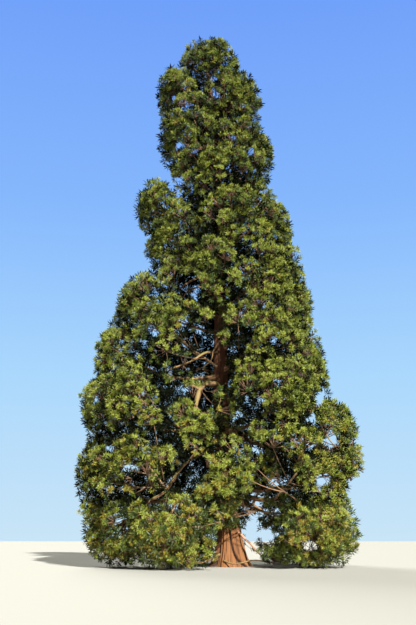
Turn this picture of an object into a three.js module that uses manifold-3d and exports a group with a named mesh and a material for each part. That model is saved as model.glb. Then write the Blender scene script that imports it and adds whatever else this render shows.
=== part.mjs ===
// A giant sequoia of open parkland, some 36 m tall, that keeps its foliage down to the ground.
// Millimetres, +Z up. The origin is the middle of the flat cut under the trunk, at ground level.
// Bearings turn round the trunk as seen from above: 0 is right (+X), 90 back (+Y), 180 left and 270 front.
import * as THREE from "three";
import { mergeVertices } from "three/addons/utils/BufferGeometryUtils.js";
import Module from "manifold-3d";

const wasm = await Module();
wasm.setup();

const METRE = 1000;
const WELD_DISTANCE = 1e-4; // corners nearer than this are one
const TOUCH_GAP = 0.3; // between two pieces that touch
const LIMB_CLEARANCE = 35; // between foliage and a limb that passes it
const MASS_CLEARANCE = 25; // from foliage to the plane between its mass and the next
const GROUND_CLEARANCE = 60; // under the lowest foliage
const SEED = 20260;

// The trunk's radius thins to nothing at TAPER_HEIGHT. Its flare and its buttresses fade upwards.
const TRUNK_TIP = 31.9 * METRE;
const TAPER_HEIGHT = 36 * METRE;
const TRUNK_RADIUS = 640;
const TAPER_POWER = 0.95;
const FLARE = 550;
const FLARE_FALL = 1.1 * METRE;
const BUTTRESSES = 7;
const BUTTRESS_SHARE = 0.13;
const BUTTRESS_FALL = 1.7 * METRE;
const TRUNK_SIDES = 24;
const TRUNK_STEPS = 10;
const TRUNK_STEP_POWER = 2.1; // draws the rings together near the ground, where the flare is
// It leans to the left twice: over its lowest part, and again in the top third.
const LOW_LEAN = 500;
const LOW_LEAN_HEIGHT = 11 * METRE;
const TOP_LEAN = 900;
const TOP_LEAN_START = 22 * METRE;
const TOP_LEAN_RUN = 12 * METRE;

// The crown, tier by tier from the ground, in metres. height is that of the middle of the tier's masses of
// foliage, and half their half sizes outwards, sideways and upwards, which overlap: planes then divide the
// neighbours. Each mass is [bearing, distance from the trunk, rise above the tier's height, size factor].
// Boughs carry the masses on the sides that boughs names. foot is how far below the tier's height they leave
// the trunk, and girth how thick they are. The other masses grow on stems off the trunk, and those of the
// skirt hang from the boughs of the tier above it.
const ALL_SIDES = ["right", "back_right", "back", "back_left", "left", "front_left", "front", "front_right"];
const TIERS = [
  {
    name: "skirt",
    height: 1.9,
    half: [2.35, 4.0, 2.7],
    hangsFrom: "low",
    masses: [[189, 6.6, 0.4, 0.92], [233, 5.8], [332, 5.7, 0.1, 0.94], [38, 5.9], [115, 5.9]],
  },
  {
    name: "low",
    height: 5.4,
    half: [2.4, 3.9, 3.1],
    boughs: ALL_SIDES,
    foot: 0.9,
    girth: 1.15,
    masses: [
      [183, 6.8, -0.3], [225, 6.3], [260, 4.2, -1.0, 0.76], [319, 5.8], [3, 6.2, 0.3, 0.93], [62, 6.0],
      [124, 6.2],
    ],
  },
  {
    name: "lower_middle",
    height: 9.2,
    half: [2.45, 3.9, 3.2],
    boughs: ["right", "back_right", "left", "front_left", "front_right"],
    foot: 1.2,
    girth: 1,
    masses: [
      [171, 6.6, 0.1, 0.96], [216, 6.0], [248, 4.8, -1.3, 0.74], [307, 5.4], [357, 6.3, -1.7, 0.8], [42, 5.6],
      [103, 5.8],
    ],
  },
  {
    name: "middle",
    height: 12.9,
    half: [2.35, 3.5, 3.2],
    boughs: ["left"],
    foot: 1.6,
    girth: 0.85,
    masses: [[184, 5.8, -0.5, 0.93], [227, 4.6, 0.3], [306, 4.3], [2, 4.5, -1.1], [66, 4.5], [127, 4.6]],
  },
  {
    name: "shoulder",
    height: 16.7,
    half: [2.15, 3.4, 3.1],
    masses: [
      [187, 4.7, -1.4, 0.96], [250, 3.5, 0.3], [315, 3.3, 0.1], [10, 4.1, -0.9, 0.92], [98, 3.6, 0, 1.05],
    ],
  },
  {
    name: "upper_middle",
    height: 20.4,
    half: [2.05, 3.4, 3.1],
    masses: [[210, 2.95, -0.6], [292, 2.9, 0.2], [12, 3.7, -2.2, 0.85], [112, 3.0]],
  },
  {
    name: "upper",
    height: 24.0,
    half: [2.0, 3.1, 3.0],
    masses: [[181, 4.2, -1.35, 0.72], [266, 2.6, 0.2], [4, 3.35, -2.8, 0.7], [88, 2.5]],
  },
  {
    name: "high",
    height: 27.7,
    half: [1.95, 3.2, 3.0],
    masses: [[206, 2.2, -0.2], [330, 1.9, -1.6], [92, 2.1]],
  },
  {
    name: "crown",
    height: 31.1,
    half: [1.75, 2.8, 2.6],
    masses: [[182, 2.35, 0.05, 0.88], [322, 1.75, -0.9], [82, 1.7, 0.2]],
  },
];
// The topmost mass sits on the tip of the trunk.
const TIP = { name: "top", height: 33.6, half: [2.2, 1.9, 2.15], distance: 0.15 };

// A bough ends at these shares of its mass's half sizes inwards from the mass's middle and below it.
const BOUGH_FOOT_RADIUS = 175;
const BOUGH_TIP_RADIUS = 92;
const BOUGH_END = 0.9;
const BOUGH_DROP = 0.35;
const BOUGH_BEND = 0.55; // the share of its length where it sags and sways most
const BOUGH_SAG = 420;
const BOUGH_SWAY = 240;
const BOUGH_SIDES = 6;
const BOUGH_STEPS = 4;

// A dead branch, bare of foliage, that arches down to the ground on the right of the trunk's foot.
const BARE_BRANCH = { bearing: 322, height: 2.35, reach: 2.5, fall: 1.95, arch: 260, girth: [88, 40] };

// Stems. A stem leaves the trunk below the middle of its mass, and ends short of that middle, by these shares
// of the mass's half sizes. It starts the way its limb points, for STEM_LEAD of its length. Where two stems
// share the tip of a bough, each stands off its middle by FORK_OFFSET and is as thick as FORK_SHARE.
const STEM_FOOT_RADIUS = 105;
const STEM_TIP_RADIUS = 34;
const STEM_SIDES = 4;
const STEM_DROP = 0.45;
const STEM_END = 0.1;
const STEM_LEAD = 0.3;
const STEM_SHARE = 0.95; // how thick a stem is on the tip of a limb, and on the side of the trunk
const STEM_ON_TRUNK_SHARE = 0.5;
const FORK_OFFSET = 0.47;
const FORK_SHARE = 0.42;

// Foliage: a dense core that rises in blunt tufts, then twigs that stand out of it and end in sprays. Places
// are shares of the way out from the middle of the mass to the surface of its ellipsoid.
const CORE_DETAIL = 2;
const CORE_TUFT = 0.95;
const CORE_HOLLOW = 0.76;
const CORE_ROUGHNESS = 0.12;
const TWIGS = 3;
const TWIG_CANDIDATES = 61;
const TWIG_STRIDE = 23;
const TWIG_TOP = 0.9; // how steeply the highest candidate and the lowest point up, straight up being 1
const TWIG_BOTTOM = -0.8;
const TWIG_ROOT = 0.7;
const TWIG_TIP = 0.9;
const TWIG_RADIUS = 75;
const TWIG_SIDES = 3;
const SPRAY_ROOT = 0.74;
const SPRAY_TIP = 1.02;
const SPRAY_UNEVENNESS = 0.05;
const SPRAY_TURN_UP = 0.2;
const SPACE_SHARE = 1.06; // how far foliage may pass the ellipsoid
// A spray is a whorl of teeth round a blunt point, each given as its place along the spray and its distance
// from the spray's middle line, both as shares of the spray's length.
const TEETH = 3;
const TOOTH = [1, 0.62];
const NOTCH = [0.62, 0.22];
const BLUNT_POINT = 0.82;

const GOLDEN_ANGLE = Math.PI * (3 - Math.sqrt(5));
const UP = new THREE.Vector3(0, 0, 1);
const DOWN = new THREE.Vector3(0, 0, -1);

/** A seeded source of numbers from 0 to 1 (mulberry32). */
function randomFrom(seed) {
  let state = seed >>> 0;
  return () => {
    state = (state + 0x6d2b79f5) >>> 0;
    let mixed = Math.imul(state ^ (state >>> 15), 1 | state);
    mixed = (mixed + Math.imul(mixed ^ (mixed >>> 7), 61 | mixed)) ^ mixed;
    return ((mixed ^ (mixed >>> 14)) >>> 0) / 2 ** 32;
  };
}

/** A geometry's corners alone, each once, however many faces meet there. */
function weld(geometry) {
  const bare = geometry.clone();
  bare.deleteAttribute("normal");
  bare.deleteAttribute("uv");
  return mergeVertices(bare, WELD_DISTANCE);
}

/** A closed three.js geometry as a manifold solid. */
function solidOf(geometry) {
  const welded = weld(geometry);
  const index = welded.index.array;
  const faces = [];
  for (let i = 0; i < index.length; i += 3) {
    const [a, b, c] = index.slice(i, i + 3);
    if (a !== b && b !== c && a !== c) faces.push(a, b, c);
  }
  const vertProperties = welded.attributes.position.array;
  return new wasm.Manifold(new wasm.Mesh({ numProp: 3, vertProperties, triVerts: new Uint32Array(faces) }));
}

/** A manifold solid as a three.js geometry, flat shaded. */
function geometryOf(solid) {
  const mesh = solid.getMesh();
  const indexed = new THREE.BufferGeometry();
  indexed.setAttribute("position", new THREE.BufferAttribute(mesh.vertProperties, mesh.numProp));
  indexed.setIndex(new THREE.BufferAttribute(mesh.triVerts, 1));
  const flat = indexed.toNonIndexed();
  flat.computeVertexNormals();
  return flat;
}

/** The largest body of a solid: a scrap that a cut leaves loose is dropped. */
function largestBody(solid) {
  return solid.decompose().sort((a, b) => b.volume() - a.volume())[0];
}

/** The middle of the trunk at a height. */
function trunkMiddle(height) {
  const low = Math.min(height / LOW_LEAN_HEIGHT, 1);
  const top = Math.max(0, (height - TOP_LEAN_START) / TOP_LEAN_RUN);
  const x = -LOW_LEAN * low * low * (3 - 2 * low) - TOP_LEAN * top * top;
  return new THREE.Vector3(x, 0, height);
}

/** The trunk's radius at a height, buttresses apart. */
function trunkRadius(height) {
  const taper = TRUNK_RADIUS * (1 - height / TAPER_HEIGHT) ** TAPER_POWER;
  return taper + FLARE * Math.exp(-height / FLARE_FALL);
}

/** The trunk, grown all round by a distance: a cylinder whose rings are moved and swelled by their height. */
function trunkSolid(grownBy) {
  const g = new THREE.CylinderGeometry(1, 1, 1, TRUNK_SIDES, TRUNK_STEPS);
  const p = g.attributes.position;
  for (let i = 0; i < p.count; i++) {
    const share = (p.getY(i) + 0.5) ** TRUNK_STEP_POWER;
    const height = -grownBy + (TRUNK_TIP + 2 * grownBy) * share;
    const level = Math.max(height, 0);
    const angle = Math.atan2(p.getZ(i), p.getX(i));
    const ridge = Math.cos(BUTTRESSES * angle + Math.sin(2 * angle));
    const swell = 1 + BUTTRESS_SHARE * ridge * Math.exp(-level / BUTTRESS_FALL);
    const radius = (trunkRadius(level) * swell + grownBy) * Math.hypot(p.getX(i), p.getZ(i));
    const middle = trunkMiddle(level);
    p.setXYZ(i, middle.x + radius * Math.cos(angle), middle.y - radius * Math.sin(angle), height);
  }
  return solidOf(g);
}

/** A limb: a cylinder bent along a curve, thinning evenly from its foot to its tip. */
function limbSolid({ curve, footRadius, tipRadius }, sides, steps, grownBy = 0) {
  const g = new THREE.CylinderGeometry(tipRadius + grownBy, footRadius + grownBy, 1, sides, steps);
  const p = g.attributes.position;
  for (let i = 0; i < p.count; i++) {
    const share = p.getY(i) + 0.5;
    const along = curve.getTangent(share);
    const side = new THREE.Vector3().crossVectors(along, UP).normalize();
    const across = new THREE.Vector3().crossVectors(side, along);
    const at = curve.getPoint(share).addScaledVector(side, p.getX(i)).addScaledVector(across, p.getZ(i));
    p.setXYZ(i, at.x, at.y, at.z);
  }
  return solidOf(g);
}

/** The level unit vector of a bearing. */
function outward(bearing) {
  const angle = THREE.MathUtils.degToRad(bearing);
  return new THREE.Vector3(Math.cos(angle), Math.sin(angle), 0);
}

/** A mass of foliage: its place, its half sizes, and the axes that they lie along. */
function layOutMass(tier, name, side, [bearing, distance, rise = 0, factor = 1]) {
  const out = outward(bearing);
  const middle = trunkMiddle((tier.height + rise) * METRE).addScaledVector(out, distance * METRE);
  const half = tier.half.map((size) => size * factor * METRE);
  const axes = [out, new THREE.Vector3().crossVectors(UP, out), UP];
  return { tier, name, side, bearing, out, middle, half, axes, planes: [] };
}

/** All masses of the crown, named after their tier and side. */
function layOutCrown() {
  const crown = TIERS.flatMap((tier) => {
    return tier.masses.map((sizes) => {
      const eighth = Math.round((sizes[0] / 360) * ALL_SIDES.length);
      const side = ALL_SIDES[eighth % ALL_SIDES.length];
      return layOutMass(tier, tier.name + "_" + side, side, sizes);
    });
  });
  return [...crown, layOutMass(TIP, "top", "top", [0, TIP.distance])];
}

/** How far a mass's ellipsoid reaches from its middle in a direction. */
function reachOf(mass, direction) {
  return 1 / Math.hypot(...mass.axes.map((axis, k) => axis.dot(direction) / mass.half[k]));
}

/** Gives each mass its own space: planes between it and the other masses, the trunk and the ground. */
function divideSpace(masses) {
  for (const mass of masses) {
    for (const other of masses.filter((m) => m !== mass)) {
      const normal = other.middle.clone().sub(mass.middle);
      const distance = normal.length();
      normal.normalize();
      const own = reachOf(mass, normal);
      const share = own / (own + reachOf(other, normal));
      mass.planes.push({ normal, offset: distance * share - MASS_CLEARANCE });
    }
    mass.planes.push({ normal: DOWN, offset: mass.middle.z - GROUND_CLEARANCE });
    if (mass.side === "top") {
      mass.planes.push({ normal: DOWN, offset: mass.middle.z - TRUNK_TIP - LIMB_CLEARANCE });
      continue;
    }
    // The trunk leans, so the plane stands clear of it at the bottom, the middle and the top of the mass.
    const inward = mass.out.clone().negate();
    const offsets = [-1, 0, 1].map((end) => {
      const height = Math.max(0, mass.middle.z + end * mass.half[2]);
      const bark = trunkMiddle(height).addScaledVector(mass.out, trunkRadius(height) + 2 * LIMB_CLEARANCE);
      return bark.sub(mass.middle).dot(inward);
    });
    mass.planes.push({ normal: inward, offset: Math.min(...offsets) });
  }
}

/** Whether every corner of a solid lies in a mass's own space. */
function keepsToSpace(solid, mass) {
  const { vertProperties, numVert } = solid.getMesh();
  for (let i = 0; i < numVert; i++) {
    const at = new THREE.Vector3().fromArray(vertProperties, i * 3).sub(mass.middle);
    if (mass.planes.some(({ normal, offset }) => normal.dot(at) > offset)) return false;
    if (at.length() > SPACE_SHARE * reachOf(mass, at.clone().normalize())) return false;
  }
  return true;
}

/** The corners that stand out as tufts: those with fewest neighbours first, and never two side by side. */
function tuftCorners(geometry) {
  const index = geometry.index.array;
  const neighbours = Array.from({ length: geometry.attributes.position.count }, () => new Set());
  for (let i = 0; i < index.length; i++) {
    const next = i % 3 === 2 ? i - 2 : i + 1;
    neighbours[index[i]].add(index[next]);
    neighbours[index[next]].add(index[i]);
  }
  const tufts = new Set();
  const order = [...neighbours.keys()].sort((a, b) => neighbours[a].size - neighbours[b].size);
  for (const corner of order) {
    if (![...neighbours[corner]].some((near) => tufts.has(near))) tufts.add(corner);
  }
  return tufts;
}

/** A mass's core: an icosphere turned at random, roughened into tufts and drawn in by the mass's planes. */
function coreSolid(mass, random) {
  const g = weld(new THREE.IcosahedronGeometry(1, CORE_DETAIL));
  const p = g.attributes.position;
  const tufts = tuftCorners(g);
  const turn = new THREE.Euler(...[1, 1, 1].map(() => random() * 2 * Math.PI));
  for (let i = 0; i < p.count; i++) {
    const direction = new THREE.Vector3().fromBufferAttribute(p, i).normalize().applyEuler(turn);
    const share = (tufts.has(i) ? CORE_TUFT : CORE_HOLLOW) - CORE_ROUGHNESS * random();
    const limits = mass.planes.map(({ normal, offset }) => {
      const facing = normal.dot(direction);
      return facing > 0 ? offset / facing : Infinity;
    });
    const at = direction.clone().multiplyScalar(Math.min(reachOf(mass, direction) * share, ...limits));
    at.add(mass.middle);
    p.setXYZ(i, at.x, at.y, at.z);
  }
  return solidOf(g);
}

/** A spray of needles: a cone from its root that opens into a whorl of teeth round a blunt point. */
function spraySolid(root, tip, roll) {
  const heading = tip.clone().sub(root);
  const length = heading.length();
  const points = [0, 0, 0, 0, BLUNT_POINT * length, 0];
  const faces = [];
  for (let i = 0; i < 2 * TEETH; i++) {
    const [along, aside] = i % 2 ? NOTCH : TOOTH;
    const angle = roll + (Math.PI * i) / TEETH;
    points.push(aside * length * Math.sin(angle), along * length, aside * length * Math.cos(angle));
    const here = 2 + i;
    const next = 2 + ((i + 1) % (2 * TEETH));
    faces.push(0, next, here, 1, here, next);
  }
  const g = new THREE.BufferGeometry();
  g.setAttribute("position", new THREE.Float32BufferAttribute(points, 3));
  g.setIndex(faces);
  const upright = new THREE.Vector3(0, 1, 0);
  g.applyQuaternion(new THREE.Quaternion().setFromUnitVectors(upright, heading.normalize()));
  g.translate(root.x, root.y, root.z);
  return solidOf(g);
}

/** The twigs of a mass, each with the spray that it ends in. They stand out all round, wherever both fit. */
function twigsAndSprays(mass, random, keepClear) {
  const touchesNothing = (solid) => keepClear.every((limb) => solid.intersect(limb).isEmpty());
  const fits = (solid) => keepsToSpace(solid, mass) && touchesNothing(solid);
  const at = (way, share) => mass.middle.clone().addScaledVector(way, reachOf(mass, way) * share);
  const turn = random() * 2 * Math.PI;
  const pieces = [];
  for (let k = 0; k < TWIG_CANDIDATES && pieces.length < 2 * TWIGS; k++) {
    // The candidates step up and down by a stride, so that the first few already lie well apart.
    const step = (k * TWIG_STRIDE) % TWIG_CANDIDATES;
    const height = THREE.MathUtils.lerp(TWIG_TOP, TWIG_BOTTOM, (step + 0.5) / TWIG_CANDIDATES);
    const direction = new THREE.Vector3(Math.sqrt(1 - height * height), 0, height);
    direction.applyAxisAngle(UP, turn + GOLDEN_ANGLE * k);
    const curve = new THREE.LineCurve3(at(direction, TWIG_ROOT), at(direction, TWIG_TIP));
    const twig = limbSolid({ curve, footRadius: TWIG_RADIUS, tipRadius: TWIG_RADIUS / 2 }, TWIG_SIDES, 1);
    const way = direction.clone().addScaledVector(UP, SPRAY_TURN_UP).normalize();
    const tip = at(way, SPRAY_TIP - SPRAY_UNEVENNESS * random());
    const spray = spraySolid(at(direction, SPRAY_ROOT), tip, random() * Math.PI);
    if (fits(twig) && fits(spray)) pieces.push(twig, spray);
  }
  return pieces;
}

/** A bough: it leaves the trunk, sags and sways, and ends at its mass, or between that and the one below. */
function layOutBough(mass) {
  const foot = trunkMiddle((mass.tier.height - mass.tier.foot) * METRE);
  const tip = mass.middle.clone().addScaledVector(mass.out, -BOUGH_END * mass.half[0]);
  tip.z = mass.below ? (mass.middle.z + mass.below.middle.z) / 2 : tip.z - BOUGH_DROP * mass.half[2];
  const bend = foot.clone().lerp(tip, BOUGH_BEND);
  bend.addScaledVector(mass.axes[1], BOUGH_SWAY * Math.sin(mass.bearing));
  bend.z -= BOUGH_SAG;
  return {
    name: "bough_" + mass.name,
    curve: new THREE.QuadraticBezierCurve3(foot, bend, tip),
    footRadius: BOUGH_FOOT_RADIUS * mass.tier.girth,
    tipRadius: BOUGH_TIP_RADIUS * mass.tier.girth,
  };
}

/** The dead branch: it leaves the trunk, arches and comes down to the ground. */
function layOutBareBranch() {
  const { bearing, height, reach, fall, arch, girth } = BARE_BRANCH;
  const foot = trunkMiddle(height * METRE);
  const tip = foot.clone().addScaledVector(outward(bearing), reach * METRE);
  tip.z -= fall * METRE;
  const bend = foot.clone().lerp(tip, 0.5).addScaledVector(UP, arch);
  const curve = new THREE.QuadraticBezierCurve3(foot, bend, tip);
  return { name: "bare_branch", curve, footRadius: girth[0], tipRadius: girth[1] };
}

/** The stem of a mass, from its bough's tip, the trunk's tip or the middle of the trunk into the mass. */
function layOutStem(mass) {
  const end = mass.middle.clone().addScaledVector(mass.out, -STEM_END * mass.half[0]);
  const stem = (start, along, footRadius) => {
    const lead = start.clone().addScaledVector(along, STEM_LEAD * start.distanceTo(end));
    const curve = new THREE.QuadraticBezierCurve3(start, lead, end);
    return { curve, footRadius, tipRadius: Math.min(STEM_TIP_RADIUS, footRadius) };
  };
  if (mass.side === "top") {
    const start = trunkMiddle(TRUNK_TIP).addScaledVector(UP, TOUCH_GAP);
    return stem(start, UP, STEM_SHARE * trunkRadius(TRUNK_TIP));
  }
  if (!mass.bough) {
    const start = trunkMiddle(mass.middle.z - STEM_DROP * mass.half[2]);
    const footRadius = Math.min(STEM_FOOT_RADIUS, STEM_ON_TRUNK_SHARE * trunkRadius(start.z));
    return stem(start, end.clone().sub(start).normalize(), footRadius);
  }
  const { curve, tipRadius } = mass.bough;
  const along = curve.getTangent(1);
  const start = curve.getPoint(1).addScaledVector(along, TOUCH_GAP);
  if (!mass.fork) return stem(start, along, STEM_SHARE * tipRadius);
  const upward = UP.clone().projectOnPlane(along).normalize();
  start.addScaledVector(upward, mass.fork * FORK_OFFSET * tipRadius);
  return stem(start, along, FORK_SHARE * tipRadius);
}

/** Gives each mass its bough, if it has one. A mass of the skirt shares that of the nearest mass above it. */
function layOutBoughs(masses) {
  for (const mass of masses.filter((m) => m.tier.hangsFrom)) {
    const away = (m) => Math.abs(m.bearing - mass.bearing);
    const carriers = masses.filter((m) => m.tier.name === mass.tier.hangsFrom);
    const above = carriers.sort((a, b) => away(a) - away(b))[0];
    above.below = mass;
    above.fork = 1;
    mass.fork = -1;
  }
  for (const mass of masses.filter((m) => m.tier.boughs?.includes(m.side))) {
    mass.bough = layOutBough(mass);
    if (mass.below) mass.below.bough = mass.bough;
  }
  return [...new Set(masses.map((m) => m.bough).filter(Boolean))];
}

/** A box round a mass, to find the limbs that come near it. */
function boxRound(mass) {
  const size = 2 * SPACE_SHARE * Math.max(...mass.half);
  return solidOf(new THREE.BoxGeometry(size, size, size).translate(...mass.middle));
}

const bark = new THREE.MeshStandardMaterial({ color: 0x8a5a38, roughness: 0.95, metalness: 0 });
const greyBark = new THREE.MeshStandardMaterial({ color: 0xa08260, roughness: 0.95, metalness: 0 });
const needles = new THREE.MeshStandardMaterial({ color: 0x5a6b2c, roughness: 0.9, metalness: 0 });

const tree = new THREE.Group();

/** Adds a solid to the tree as a named mesh. */
function addPiece(name, solid, material) {
  const mesh = new THREE.Mesh(geometryOf(solid), material);
  mesh.name = name;
  tree.add(mesh);
}

const masses = layOutCrown();
divideSpace(masses);
const boughs = layOutBoughs(masses);
const bareBranch = layOutBareBranch();
const limbs = [...boughs, bareBranch];
const trunkTouch = trunkSolid(TOUCH_GAP);

addPiece("trunk", trunkSolid(0), bark);
for (const limb of limbs) {
  const whole = limbSolid(limb, BOUGH_SIDES, BOUGH_STEPS);
  addPiece(limb.name, largestBody(whole.subtract(trunkTouch)), limb === bareBranch ? greyBark : bark);
}

// Foliage keeps clear of the trunk, of the limbs, and of the stems of other masses.
for (const mass of masses) mass.stem = layOutStem(mass);
const trunkClear = trunkSolid(LIMB_CLEARANCE);
const limbsClear = limbs.map((limb) => limbSolid(limb, BOUGH_SIDES, BOUGH_STEPS, LIMB_CLEARANCE));
const stemsClear = masses.map((mass) => limbSolid(mass.stem, STEM_SIDES, 1, LIMB_CLEARANCE));
masses.forEach((mass, number) => {
  const random = randomFrom(SEED + number);
  const others = stemsClear.filter((_, i) => i !== number);
  const box = boxRound(mass);
  const keepClear = [trunkClear, ...limbsClear, ...others].filter((limb) => !limb.intersect(box).isEmpty());
  const core = keepClear.reduce((solid, limb) => solid.subtract(limb), coreSolid(mass, random));
  const whole = limbSolid(mass.stem, STEM_SIDES, 1);
  const stem = mass.bough || mass.side === "top" ? whole : whole.subtract(trunkTouch);
  const grown = [core, stem, ...twigsAndSprays(mass, random, keepClear)];
  addPiece("foliage_" + mass.name, largestBody(wasm.Manifold.union(grown)), needles);
});

export default tree;
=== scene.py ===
"""The looks of a giant sequoia of open parkland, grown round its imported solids.

The trunk and boughs get bark with real relief. Each mass of foliage is grown again by the rule that laid out
the solids, and carried on from the limbs to branches, twigs, sprays and needles. Metres, +Z up. Bearings turn
round the trunk as seen from above: 0 is right (+X), 90 back (+Y), 180 left and 270 front.
"""
import math

import bpy
import numpy as np
from mathutils import Euler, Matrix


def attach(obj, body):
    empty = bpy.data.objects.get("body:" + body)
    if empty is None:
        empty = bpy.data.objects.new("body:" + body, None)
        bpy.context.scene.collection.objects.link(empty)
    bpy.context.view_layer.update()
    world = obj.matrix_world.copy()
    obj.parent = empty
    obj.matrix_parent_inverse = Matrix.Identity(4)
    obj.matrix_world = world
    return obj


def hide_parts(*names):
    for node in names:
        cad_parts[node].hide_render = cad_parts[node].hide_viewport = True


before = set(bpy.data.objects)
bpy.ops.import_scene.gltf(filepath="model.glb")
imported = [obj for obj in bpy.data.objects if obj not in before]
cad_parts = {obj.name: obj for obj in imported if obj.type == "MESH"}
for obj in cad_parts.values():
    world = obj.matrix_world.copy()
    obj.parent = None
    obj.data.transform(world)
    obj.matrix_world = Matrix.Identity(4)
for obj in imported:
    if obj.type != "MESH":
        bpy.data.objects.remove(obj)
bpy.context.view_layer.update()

# The eye. The tree is seen from open grass, from 48 m away at the height of a person's eyes, and a little to
# the left of the trunk. The lens takes in the whole height of the tree.
EYE = np.array([-1.29, -48.0, 1.6])
EYE_TILT = 16.13  # degrees above level
PICTURE = np.array([416, 625])
EYE_FOCAL = 780  # the lens in picture points
SENSOR = 36  # mm, along the picture's longer side
FLOOR = 400  # from the middle of the floor to its sides, and as far as the eye sees

eye_data = bpy.data.cameras.new("eye")
eye_data.sensor_width = SENSOR
eye_data.lens = SENSOR * EYE_FOCAL / PICTURE[1]
eye_data.clip_end = FLOOR
eye = bpy.data.objects.new("eye", eye_data)
eye.location = EYE
eye.rotation_euler = Euler((math.radians(90 + EYE_TILT), 0, 0))
bpy.context.scene.collection.objects.link(eye)
bpy.context.scene.camera = eye


def pictured(points):
    """Where points fall in the picture: the focal length times the offset across or up, over the depth."""
    tilt = math.radians(EYE_TILT)
    away = points - EYE
    depth = away[..., 1] * math.cos(tilt) + away[..., 2] * math.sin(tilt)
    rise = away[..., 2] * math.cos(tilt) - away[..., 1] * math.sin(tilt)
    across = PICTURE[0] / 2 + EYE_FOCAL * away[..., 0] / depth
    down = PICTURE[1] / 2 - EYE_FOCAL * rise / depth
    return np.stack([across, down], axis=-1)


# The trunk. It is one straight stem that thins to the top, leans a little to the left, and flares into seven
# buttresses at the ground. Its spongy, fibrous bark stands in upright ridges parted by deep furrows.
TRUNK_TIP = 31.9
TAPER_HEIGHT = 36
TRUNK_RADIUS = 0.64
TAPER_POWER = 0.95
FLARE = 0.55
FLARE_FALL = 1.1
BUTTRESSES = 7
BUTTRESS_SHARE = 0.13
BUTTRESS_FALL = 1.7
LOW_LEAN = 0.5
LOW_LEAN_HEIGHT = 11
TOP_LEAN = 0.9
TOP_LEAN_START = 22
TOP_LEAN_RUN = 12
TRUNK_SIDES = 240
TRUNK_RINGS = 380
TRUNK_RING_POWER = 1.7  # draws the rings together near the ground
FURROW_DEPTH = 0.1
# Each row is a set of ridges: how many stand round the trunk, how strong they are, how far they wander
# sideways, and the height over which they wander.
BARK_RIDGES = [(11, 0.8, 1.4, 3.1), (19, 1.0, 2.0, 2.3), (31, 0.9, 2.6, 1.6), (53, 0.5, 3.0, 0.9)]
# BARK_DARK is painted shade: the colour at the bottoms of the furrows.
BARK_DARK = (0.032, 0.014, 0.008, 1)
BARK_WARM = (0.172, 0.067, 0.020, 1)
BARK_PALE = (0.215, 0.096, 0.032, 1)
# BARK_IN_SHADE is painted shade: the colour that the trunk's bark darkens to high up, where the crown shades
# it.
BARK_IN_SHADE = (0.12, 0.050, 0.032, 1)
# Deep clefts part the buttresses: [bearing above, how far it swings round at the ground, depth].
CLEFTS = [(268, 50, 0.3), (226, -18, 0.2), (318, 24, 0.16), (20, 20, 0.16), (70, -20, 0.14), (122, 18, 0.16),
          (176, -24, 0.15)]
CLEFT_WIDTH = 0.075  # radians
# Painted shade: how much darker the bark's colour is in a cleft.
CLEFT_PAINTED_SHADE = 1.5
CLEFT_SWING_FALL = 0.8
CLEFT_FALL = 2.6
# The bark's finish.
BARK_ROUGHNESS = 0.9
BARK_STOPS = [0.05, 0.62, 1.0]  # where the three colours lie, from a furrow's bottom to a ridge's top
BARK_CONTRAST = 0.78
FIBRE_LENGTH = 6.25  # how many times longer than wide its fibres are
FIBRE_DETAIL = 8
FIBRE_ROUGHNESS = 0.65
FIBRE_SHADING = 0.9
FIBRE_BUMP = {"Strength": 0.8, "Distance": 0.03}
PATCH_RATE = 0.9  # pale or mossy patches to a metre
PATCH_DETAIL = 4
WEATHERED_SPAN = [0.5, 0.72]  # of the patches' pattern, from where they begin to where they are full
WEATHERED_SHARE = 0.35
MOSS_SHARE = 0.8
MOSS_PATCHINESS = 2.4
MOSS_SLOPES = {"From Min": 0.1, "From Max": 0.8}
# Painted shade: between these heights the trunk's bark turns to its shaded colour.
SHADED_HEIGHTS = {"From Min": 2.5, "From Max": 6.5}  # it turns to its shaded colour between them
SHADED_SHARE = 0.7
FURROW_STEEPNESS = 3
FURROW_POWER = 0.6
BARK_SEED = 3
ANY_PHASE = 6  # radians, almost a full turn


def trunk_middle(height):
    """The middle of the trunk at each height: two smooth leans to the left, low down and at the top."""
    low = np.minimum(height / LOW_LEAN_HEIGHT, 1)
    top = np.maximum(0, (height - TOP_LEAN_START) / TOP_LEAN_RUN)
    across = -LOW_LEAN * low**2 * (3 - 2 * low) - TOP_LEAN * top**2
    return np.stack([across, np.zeros_like(across), height + np.zeros_like(across)], axis=-1)


def trunk_radius(height):
    """The radius at each height: a taper to nothing at TAPER_HEIGHT, and a flare that fades upwards."""
    return TRUNK_RADIUS * (1 - height / TAPER_HEIGHT) ** TAPER_POWER + FLARE * np.exp(-height / FLARE_FALL)


def steps_round(count):
    """Angles at even steps once round."""
    return np.arange(count) * 2 * np.pi / count


def level_vectors(angles):
    """Level unit vectors at angles from +X."""
    return np.stack([np.cos(angles), np.sin(angles), np.zeros_like(angles)], axis=-1)


def bark_relief(angle, height, ridges, random):
    """How far each point stands out, from -1 in a furrow to 0 on a ridge.

    Waves round the limb add up, each with a phase that wanders with the height. Where the sum is near
    nothing there is a furrow, so its size, rounded off, is the relief.
    """
    total = np.zeros(np.broadcast(angle, height).shape)
    for count, strength, wander, run in ridges:
        phase = wander * np.sin(height / run + random.uniform(0, ANY_PHASE)) + random.uniform(0, ANY_PHASE)
        total += strength * np.cos(count * angle + phase)
    size = np.abs(total) / sum(row[1] for row in ridges)
    return np.minimum(size * FURROW_STEEPNESS, 1) ** FURROW_POWER - 1


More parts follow.
